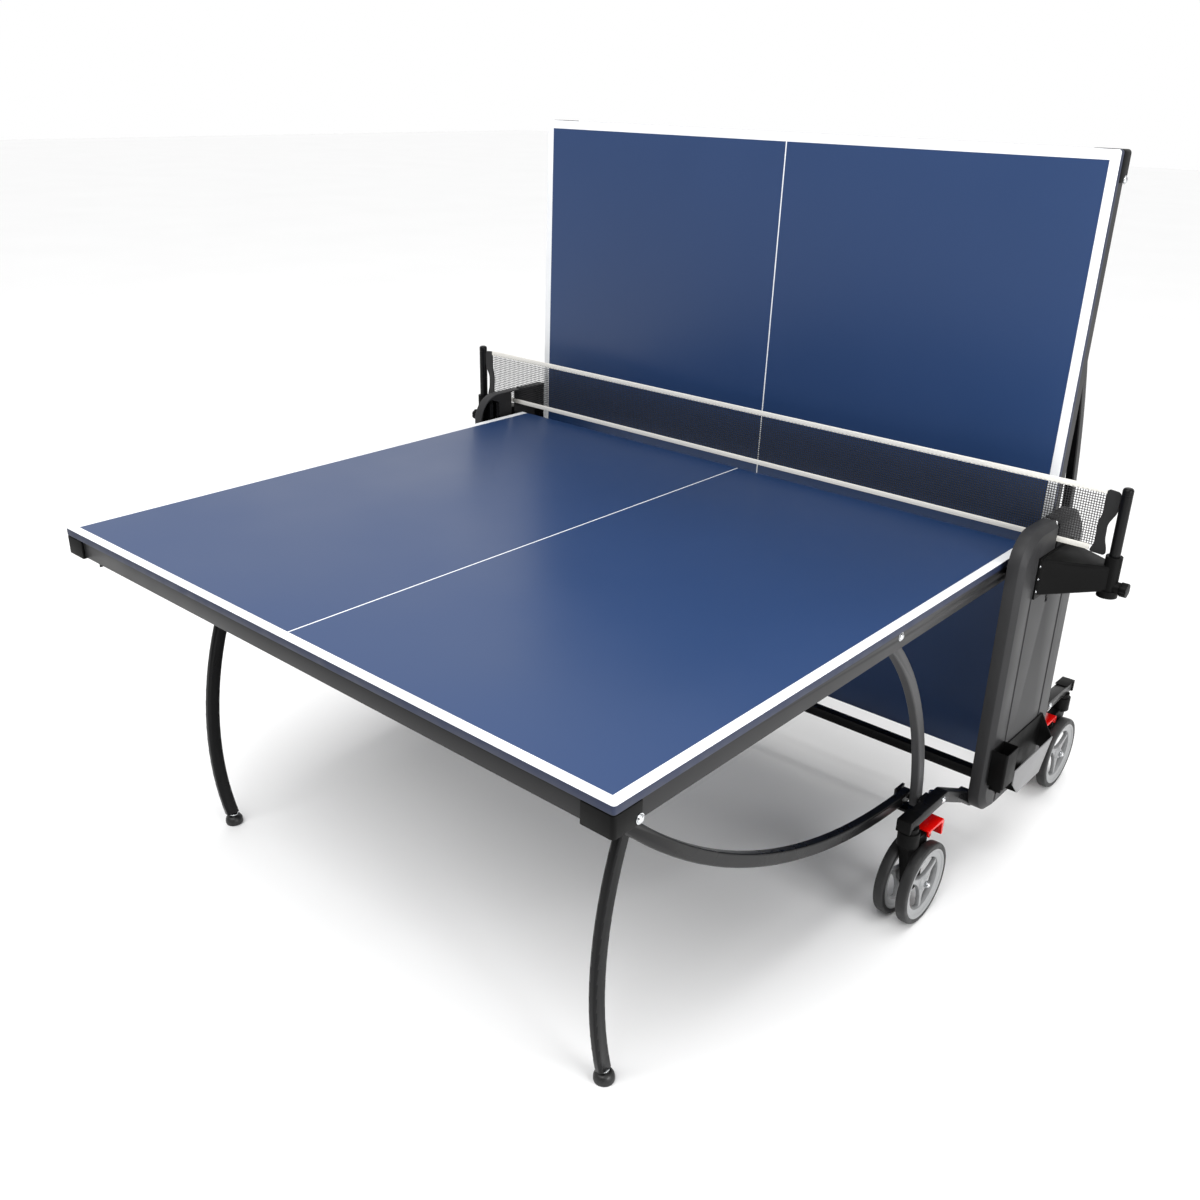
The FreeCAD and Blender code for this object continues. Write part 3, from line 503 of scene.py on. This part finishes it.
def makeNearBoard():
    low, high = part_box("near_board")
    board = addBox(low, high)
    editEdges(board, lambda a, b: abs(a.z - b.z) > mm(5) and a.y < low.y + mm(1))
    bpy.ops.mesh.bevel(offset=mm(boardSizes["cornerRadius"]), segments=5)
    leaveEdit()
    editEdges(board, lambda a, b: abs(a.z - b.z) < mm(1))
    bpy.ops.mesh.bevel(offset=mm(boardSizes["rim"]), segments=2)
    leaveEdit()
    line, centre = mm(boardSizes["line"]), mm(boardSizes["centreLine"]) / 2
    editAll(board)
    for x in (low.x + line, -centre, centre, high.x - line):
        bpy.ops.mesh.select_all(action="SELECT")
        bpy.ops.mesh.bisect(plane_co=(x, 0, 0), plane_no=(1, 0, 0))
    bpy.ops.mesh.select_all(action="SELECT")
    bpy.ops.mesh.bisect(plane_co=(0, low.y + line, 0), plane_no=(0, 1, 0))
    leaveEdit()
    for paint in ("blue", "line", "edge", "back"):
        board.data.materials.append(paints[paint])
    for face in board.data.polygons:
        onLine = abs(face.center.x) > high.x - line or abs(face.center.x) < centre
        onLine = onLine or face.center.y < low.y + line
        if face.normal.z > 0.3:
            face.material_index = 1 if onLine else 0
        else:
            face.material_index = 3 if face.normal.z < -0.3 else 2
    smooth(board, 30)
    return board


def keepPaints(board, name, half):
    board.name = name
    board.data.name = name
    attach(board, half + "_top")
    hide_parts(half + "_board")


nearBoard = makeNearBoard()
farBoard = farTwin(nearBoard, "fold", foldAngle)
keepPaints(nearBoard, "near_board_painted", "near")
keepPaints(farBoard, "far_board_painted", "far")
print("boards painted")


# Steel and plastic pieces that keep their designed shape and get their rounded edges and finish

edgeRadii = {   # millimetres, by the end of the node's name
    "side_rails": 1.6, "cross_rails": 1.6, "corner_protectors": 1.5, "stay_guides": 0.5,
    "brackets_and_pins": 0.8, "carriage": 0.8, "struts": 0.8, "stays": 0.8, "legs": 0.8,
    "side_beam_right": 3.0, "side_beam_left": 3.0, "lower_crossbar": 3.0, "guide_tracks": 1.0,
    "pivot_yokes": 1.2, "beam_end_caps": 1.2, "column_cover_right": 1.2, "column_cover_left": 1.2,
    "net_arms": 2.0, "net_knob_right": 1.0, "net_knob_left": 1.0, "bat_holders": 0.9,
    "bat_holder_fronts": 0.9, "ball_boxes": 0.9, "fork": 1.5, "pedal": 1.4,
}


def refineNode(node, radius):
    piece = frame["nodes"][node].copy()
    piece.data = frame["nodes"][node].data.copy()
    piece.parent = None
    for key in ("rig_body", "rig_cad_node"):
        del piece[key]
    bpy.context.scene.collection.objects.link(piece)
    piece.hide_render = False
    piece.hide_viewport = False
    activate(piece)
    bpy.ops.mesh.customdata_custom_splitnormals_clear()
    editAll(piece)
    bpy.ops.mesh.remove_doubles(threshold=mm(0.01))
    bpy.ops.mesh.dissolve_limited(angle_limit=math.radians(0.4))
    leaveEdit()
    softenEdges(piece, radius)
    return finishPiece(piece, node + "_finished", bodyOf[node], slotOf[node], [node])


for node in sorted(frame["nodes"]):
    for ending, radius in edgeRadii.items():
        if node.endswith(ending):
            refined = refineNode(node, radius)
            if ending == "struts":
                # the struts take the lighter grey paint, a painted highlight for the light on their outer
                # faces
                refined.data.materials[0] = paints["strut"]
print("steel and plastic pieces refined")


# Net: knitted mesh between a top tape and a bottom band, with a black pocket at each post

netSizes = {
    "pitch": 5.3, "thread": 1.15, "tapeThick": 3.0, "pocketThick": 3.6, "pocketRounding": 9,
}


def makeMesh():
    low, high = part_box("net_mesh")
    halfWidth = tapeHigh.x - mm(1)
    width, height = 2 * halfWidth, high.z - low.z
    columns = round(width / mm(netSizes["pitch"]))
    rows = round(height / mm(netSizes["pitch"]))
    bpy.ops.mesh.primitive_grid_add(
        x_subdivisions=columns, y_subdivisions=rows, size=1, location=(0, netY, (low.z + high.z) / 2),
        rotation=(math.pi / 2, 0, 0),
    )
    bpy.context.object.scale = (width, height, 1)
    mesh = applyPlace(bpy.context.object)
    # the wireframe modifier measures its square strands across their corners
    across = mm(netSizes["thread"]) * math.sqrt(2)
    modify(mesh, "WIREFRAME", thickness=across, use_even_offset=True, use_boundary=True)
    return mesh, (width, height)


def makeTape(node, name):
    # a band folded over the edge of the mesh, rounded along its top
    low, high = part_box(node)
    tape = addBox(low, high)
    editEdges(tape, lambda a, b: abs(a.x - b.x) > 1 and min(a.z, b.z) > high.z - mm(1))
    bpy.ops.mesh.bevel(offset=mm(netSizes["tapeThick"] / 2 - 0.1), segments=4)
    leaveEdit()
    softenEdges(tape, 0.4)
    return finishPiece(tape, name, "chassis", "white_tape", [node])


def makePocket():
    low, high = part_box("net_pockets")
    inner, outer = tapeHigh.x, high.x
    # inner edge waves down from the tape, outer edge hollows away from the post below its grip
    outline = [
        (inner, high.z), (outer, high.z - mm(3)), (outer, high.z - mm(46)), (outer - mm(15), high.z - mm(74)),
        (outer - mm(14), high.z - mm(108)), (outer - mm(8), low.z + mm(14)), (outer - mm(8), low.z),
        (inner - mm(15), low.z + mm(2)), (inner - mm(5), low.z + mm(26)), (inner - mm(8), low.z + mm(62)),
        (inner, high.z - mm(46)),
    ]
    half = mm(netSizes["pocketThick"]) / 2
    pocket = addOutline([Vector((x, netY - half, z)) for x, z in outline])
    editAll(pocket)
    bpy.ops.mesh.bevel(
        offset=mm(netSizes["pocketRounding"]), segments=6, affect="VERTICES", clamp_overlap=True,
    )
    bpy.ops.mesh.select_all(action="SELECT")
    bpy.ops.mesh.extrude_region_move(TRANSFORM_OT_translate={"value": (0, 2 * half, 0)})
    leaveEdit()
    turnOutwards(pocket)
    softenEdges(pocket, 0.8, 3)
    return pocket


tape = makeTape("net_tape", "net_tape_folded")
band = makeTape("net_bottom_cord", "net_bottom_band")
rightPocket = makePocket()
leftPocket = mirrored(rightPocket, 0)
pockets = joinPieces([rightPocket, leftPocket])
smooth(pockets)
finishPiece(pockets, "net_pockets_sewn", "chassis", "black_fabric", ["net_pockets"])
netMesh, netFlat = makeMesh()
finishPiece(netMesh, "net_mesh_knitted", "chassis", "net_mesh", ["net_mesh"])
print("net knitted", len(netMesh.data.polygons), "faces")


# Net posts: black tube with a groove and a rounded cap

postSizes = {
    "radius": 11, "capRounding": 6, "grooveDepth": 0.6, "grooveLow": 16, "grooveHigh": 14.2, "slope": 0.4,
}


def makePost():
    low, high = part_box("net_posts")
    radius, rounding = postSizes["radius"], postSizes["capRounding"]
    centreX = high.x - mm(radius)
    height = (high.z - low.z) * 1000
    inGroove = radius - postSizes["grooveDepth"]
    grooveLow, grooveHigh = height - postSizes["grooveLow"], height - postSizes["grooveHigh"]
    profile = [(0, 0), (radius, 0), (radius, grooveLow)]
    profile += [(inGroove, grooveLow + postSizes["slope"]), (inGroove, grooveHigh - postSizes["slope"])]
    profile.append((radius, grooveHigh))
    steps = 6
    for i in range(steps + 1):
        angle = math.pi / 2 * i / steps
        inwards = rounding * (1 - math.cos(angle))
        profile.append((radius - inwards, height - rounding + rounding * math.sin(angle)))
    profile.append((0, height))
    return turnOnAxis(profile, (centreX, netY, low.z), (0, 0, 1))


post = makePost()
posts = joinPieces([post, mirrored(post, 0)])
smooth(posts)
finishPiece(posts, "net_posts_turned", "chassis", "black_steel", ["net_posts"])


# Fasteners

def makeDome(point, axis, radius, height):
    # button head on a washer
    washerRadius, washerTop, chamfer = radius * 1.25, 0.8, 0.1
    profile = [(0, 0), (washerRadius, 0), (washerRadius, washerTop - chamfer), (radius, washerTop)]
    steps = 7
    for i in range(steps + 1):
        angle = math.pi / 2 * i / steps
        profile.append((radius * math.cos(angle) ** 0.8, washerTop + height * math.sin(angle)))
    return turnOnAxis(profile, point, axis, 28)


def makeAcorn(point, axis, radius):
    # hexagon nut with a domed cap, its sizes in shares of the nut's radius
    nutHeight, capRadius = radius * 0.8, radius * 0.8
    capFoot, domeFoot, domeRise = radius * 0.6, radius * 0.9, radius * 0.7
    nut = addRod(point, axis, mm(nutHeight), mm(radius), 6)
    softenEdges(nut, 0.5)
    profile = [(0, capFoot), (capRadius, capFoot), (capRadius, domeFoot)]
    steps = 7
    for i in range(1, steps + 1):
        angle = math.pi / 2 * i / steps
        profile.append((capRadius * math.cos(angle), domeFoot + domeRise * math.sin(angle)))
    return joinPieces([nut, turnOnAxis(profile, point, axis, 28)])


def makeScrew(point, axis, radius):
    # pan head with a driving recess
    profile = [(0, 0), (radius, 0), (radius, 0.6), (radius * 0.86, 1.5), (radius * 0.5, 1.9)]
    profile += [(radius * 0.42, 1.9), (radius * 0.36, 0.9), (0, 0.9)]
    return turnOnAxis(profile, point, axis, 20)


def bothSides(pieces):
    return pieces + [mirrored(piece, 0) for piece in pieces]


def bothEnds(pieces):
    return pieces + [mirrored(piece, 1, netY) for piece in pieces]


railBolts = {"strutFromNet": 566, "stayFromNet": 1314, "strutHeight": 733, "stayHeight": 714, "radius": 7}


def addRailBolts():
    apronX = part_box("near_side_rails")[1].x
    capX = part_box("near_corner_protectors")[1].x
    outwards = (1, 0, 0)
    places = [
        (apronX, railBolts["strutFromNet"], railBolts["strutHeight"]),
        (capX, railBolts["stayFromNet"], railBolts["stayHeight"]),
    ]
    domes = [
        makeDome((x, netY - mm(y), mm(z)), outwards, railBolts["radius"], 4) for x, y, z in places
    ]
    bolts = joinPieces(bothSides(domes))
    smooth(bolts)
    farBolts = farTwin(bolts, "fold", foldAngle)
    finishPiece(bolts, "near_rail_bolts", "near_top", "chrome")
    finishPiece(farBolts, "far_rail_bolts", "far_top", "chrome")


beamBolts = {"height": 256, "headFromPivot": 33, "nutsFromPivot": (26, 43), "radius": 7, "beamWidth": 28}


def addBeamBolts():
    # one button head on each beam's outer face, two acorn nuts on its inner one, towards the net
    pivotY = jointPoint("near_stay_pivot").y
    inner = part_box("side_beam_right")[0].x
    outer = inner + mm(beamBolts["beamWidth"])
    z = mm(beamBolts["height"])
    head = Vector((outer, pivotY + mm(beamBolts["headFromPivot"]), z))
    parts = [makeDome(head, (1, 0, 0), beamBolts["radius"] - 1, 3.5)]
    for shift in beamBolts["nutsFromPivot"]:
        parts.append(makeAcorn(Vector((inner, pivotY + mm(shift), z)), (-1, 0, 0), beamBolts["radius"]))
    bolts = joinPieces(bothEnds(bothSides(parts)))
    smooth(bolts)
    finishPiece(bolts, "beam_fasteners", "chassis", "chrome", ["beam_bolts"])


armScrews = {"heights": (690, 718, 746), "fromMiddle": 83.5, "radius": 2.9, "plate": 4}


def addArmScrews():
    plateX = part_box("column_cover_right")[1].x + mm(armScrews["plate"])
    screws = []
    for z in armScrews["heights"]:
        for side in (-1, 1):
            point = (plateX, netY + side * mm(armScrews["fromMiddle"]), mm(z))
            screws.append(makeScrew(point, (1, 0, 0), armScrews["radius"]))
    screws = joinPieces(bothSides(screws))
    smooth(screws)
    finishPiece(screws, "net_arm_screws", "chassis", "chrome")


addRailBolts()
addBeamBolts()
addArmScrews()
print("fasteners added")


# Feet: rubber dome, bright ring and threaded stem

footSizes = {
    "radius": 20, "height": 22, "skirt": 8, "neckRadius": 9,
    "ringRadius": 10, "stemRadius": 4, "stemTop": 48,
}


def makeFoot():
    low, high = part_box("near_foot_right")
    base = Vector(((low.x + high.x) / 2, (low.y + high.y) / 2, low.z))
    radius, height = footSizes["radius"], footSizes["height"]
    neck, skirt = footSizes["neckRadius"], footSizes["skirt"]
    profile = [(0, 0), (radius - 2.5, 0), (radius - 0.6, 1.4), (radius, 4), (radius, skirt)]
    steps = 8
    for i in range(1, steps + 1):
        angle = math.pi / 2 * i / steps
        across, up = (radius - neck) * math.cos(angle), (height - skirt) * math.sin(angle)
        profile.append((neck + across, skirt + up))
    profile += [(neck, height + 2), (0, height + 2)]
    dome = turnOnAxis(profile, base, (0, 0, 1), 40)
    smooth(dome, 50)
    return dome, base


def makeFootStem(base):
    height = footSizes["height"]
    r = footSizes["ringRadius"]
    profile = [(0, height + 1), (r - 1, height + 1), (r, height + 2), (r, height + 4), (r - 1, height + 5)]
    thread, pitch = height + 6, 2
    while thread < footSizes["stemTop"] - pitch:
        profile += [(footSizes["stemRadius"], thread), (footSizes["stemRadius"] - 0.7, thread + pitch / 2)]
        thread += pitch
    profile += [(footSizes["stemRadius"], footSizes["stemTop"]), (0, footSizes["stemTop"])]
    stem = turnOnAxis(profile, base, (0, 0, 1), 32)
    smooth(stem)
    return stem


def addFeet():
    dome, base = makeFoot()
    stem = makeFootStem(base)
    for part, name, slotName in ((dome, "rubber", "rubber_foot"), (stem, "stem", "chrome")):
        left = mirrored(part, 0)
        for side, piece in (("right", part), ("left", left)):
            far = farTwin(piece, "leg_fold", foldAngle + legAngle)
            for half, twin in (("near", piece), ("far", far)):
                node = "%s_foot_%s" % (half, side)
                covered = [node] if name == "rubber" else []
                finishPiece(twin, node + "_" + name, node, slotName, covered)


addFeet()
print("feet turned")


# Casters: twin spoked wheels

wheelSizes = {
    "radius": 93, "rimRadius": 80, "width": 24, "gap": 28, "innerRing": 61, "hub": 17, "boss": 12,
    "starReach": 100, "starCurve": 82, "plate": 9, "axle": 6, "axleInset": 4, "nut": 7.5, "nutInset": 3,
}


def wheelCentre():
    return jointPoint("caster_near_right_spin")


def makeTyre(start):
    r0, r1, width = wheelSizes["rimRadius"], wheelSizes["radius"], wheelSizes["width"]
    profile = [
        (r0, 0.8), (r0 + 3, 0), (r1 - 5, 0), (r1 - 2.2, 1.0), (r1 - 0.6, 3.2), (r1, 6.5),
        (r1, width - 6.5), (r1 - 0.6, width - 3.2), (r1 - 2.2, width - 1.0), (r1 - 5, width),
        (r0 + 3, width), (r0, width - 0.8),
    ]
    tyre = turnOnAxis(profile, start, (1, 0, 0), 96)
    smooth(tyre, 30)
    return tyre


def makeRim(start):
    s = wheelSizes
    r1, r0, width = s["rimRadius"], s["innerRing"], s["width"]
    ring = turnOnAxis(
        [
            (r1, 0.4), (r1, width - 0.4), (r1 - 2, width), (r1 - 4, width - 0.6), (r1 - 7, width - 3.4),
            (r0 + 3, width - 4.2), (r0, width - 5.5), (r0, 5.5), (r0 + 3, 4.2), (r1 - 7, 3.4),
            (r1 - 4, 0.6), (r1 - 2, 0),
        ],
        start, (1, 0, 0), 96,
    )
    centre = Vector(start) + Vector((mm(width / 2), 0, 0))
    plateStart = centre - Vector((mm(s["plate"] / 2), 0, 0))
    disc = addRod(plateStart, (1, 0, 0), mm(s["plate"]), mm(r0 + 1.5), 96)
    windowLength, limitLength = mm(100), mm(80)
    for i in range(3):
        angle = math.radians(90 + 120 * i)
        aside = Vector((0, math.cos(angle), math.sin(angle))) * mm(s["starReach"])
        windowStart = centre - Vector((windowLength / 2, 0, 0)) + aside
        window = addRod(windowStart, (1, 0, 0), windowLength, mm(s["starCurve"]), 160)
        limitStart = centre - Vector((limitLength / 2, 0, 0))
        limit = addRod(limitStart, (1, 0, 0), limitLength, mm(r0 - 0.5), 96)
        modify(window, "BOOLEAN", operation="INTERSECT", object=limit, solver="EXACT")
        modify(disc, "BOOLEAN", operation="DIFFERENCE", object=window, solver="EXACT")
        bpy.data.objects.remove(window)
        bpy.data.objects.remove(limit)
    softenEdges(disc, 1.2, 2, 40)
    hub = turnOnAxis(
        [
            (0, 2), (s["boss"], 2), (s["hub"], 7),
            (s["hub"], width - 7), (s["boss"], width - 2), (0, width - 2),
        ],
        start, (1, 0, 0), 48,
    )
    smooth(ring, 30)
    smooth(hub, 30)
    return joinPieces([ring, disc, hub])


def makeWheelset():
    centre = wheelCentre()
    gap, width = wheelSizes["gap"] / 2, wheelSizes["width"]
    starts = [centre + Vector((mm(gap), 0, 0)), centre - Vector((mm(gap + width), 0, 0))]
    rims = joinPieces([makeRim(start) for start in starts])
    tyres = joinPieces([makeTyre(start) for start in starts])
    reach = gap + width
    nuts = []
    for sign in (1, -1):
        face = centre + Vector((sign * mm(reach - wheelSizes["nutInset"]), 0, 0))
        nuts.append(makeAcorn(face, (sign, 0, 0), wheelSizes["nut"]))
    axleHalf = reach - wheelSizes["axleInset"]
    axleStart = centre - Vector((mm(axleHalf), 0, 0))
    axle = addRod(axleStart, (1, 0, 0), mm(2 * axleHalf), mm(wheelSizes["axle"]), 32)
    smooth(axle)
    fittings = joinPieces(nuts + [axle])
    return rims, tyres, fittings


def addCasters():
    rims, tyres, fittings = makeWheelset()
    made = {
        "rims": (rims, "rim", "wheels"), "treads": (tyres, "tyre", "tyres"),
        "axle": (fittings, "chrome", None),
    }
    for end in ("near", "far"):
        for side in ("right", "left"):
            caster = "caster_%s_%s" % (end, side)
            for name, (part, slotName, node) in made.items():
                piece = duplicate(part)
                if end == "far":
                    piece = replaceBy(mirrored(piece, 1, netY), piece)
                if side == "left":
                    piece = replaceBy(mirrored(piece, 0), piece)
                covered = [caster + "_" + node] if node else []
                finishPiece(piece, caster + "_" + name, caster + "_wheelset", slotName, covered)
    for part in (rims, tyres, fittings):
        bpy.data.objects.remove(part)


addCasters()
print("casters built")


# Room

roomSettings = {
    "floor": 60, "sun": 0.9, "sunAngle": 40, "sky": (0.15, 1.0), "brightSide": (-0.35, 0.65, 0.67),
    "backdrop": 1.0,
}


def makeFloor():
    bpy.ops.mesh.primitive_plane_add(size=roomSettings["floor"], location=(0, 0, 0))
    floor = bpy.context.object
    floor.name = "floor"
    material, tree, shader, coordinates = startMaterial("paleStudioFloor", Roughness=0.8)
    patches = noiseAt(tree, coordinates, 900)
    tree.links.new(mixColours(tree, patches, "#f2f2f2", "#f6f6f6"), shader.inputs["Base Color"])
    floor.data.materials.append(material)


def makeLight(name, place, target, size, power):
    light = bpy.data.lights.new(name, "AREA")
    light.shape = "RECTANGLE"
    light.size, light.size_y = size
    light.energy = power
    lamp = bpy.data.objects.new(name, light)
    lamp.location = place
    lamp.rotation_euler = (Vector(target) - Vector(place)).to_track_quat("-Z", "Y").to_euler()
    bpy.context.scene.collection.objects.link(lamp)


def makeOverheadSun():
    # even light from straight above, so the floor stays pale out to its edge
    sun = bpy.data.lights.new("overhead", "SUN")
    sun.energy = roomSettings["sun"]
    sun.angle = math.radians(roomSettings["sunAngle"])
    lamp = bpy.data.objects.new("overhead", sun)
    bpy.context.scene.collection.objects.link(lamp)


def makeSky():
    # a soft sky, bright behind and to the left of the table and dim in front, seen as plain white
    world = bpy.data.worlds.new("studio")
    world.use_nodes = True
    tree = world.node_tree
    background = tree.nodes["Background"]
    direction = addNode(tree, "ShaderNodeTexCoord").outputs["Generated"]
    towards = addNode(
        tree, "ShaderNodeVectorMath", {0: direction}, {1: roomSettings["brightSide"]}, operation="DOT_PRODUCT"
    ).outputs["Value"]
    low, high = roomSettings["sky"]
    glow = mapTo(tree, towards, low, high, -0.6, 0.8)
    seen = addNode(tree, "ShaderNodeLightPath").outputs["Is Camera Ray"]
    values = {3: roomSettings["backdrop"]}
    strength = addNode(tree, "ShaderNodeMix", {0: seen, 2: glow}, values, data_type="FLOAT").outputs[0]
    tree.links.new(strength, background.inputs["Strength"])
    background.inputs["Color"].default_value = (1, 1, 1, 1)
    bpy.context.scene.world = world


makeFloor()
makeOverheadSun()
makeSky()
makeLight("key", (0.4, -3.2, 4.6), (0, 0.2, 0.7), (3.5, 2.5), 190)
makeLight("right", (4.2, -0.6, 1.7), (0.8, 0.2, 0.6), (2.2, 2.2), 115)
bpy.context.scene.view_settings.view_transform = "Standard"
print("room lit")
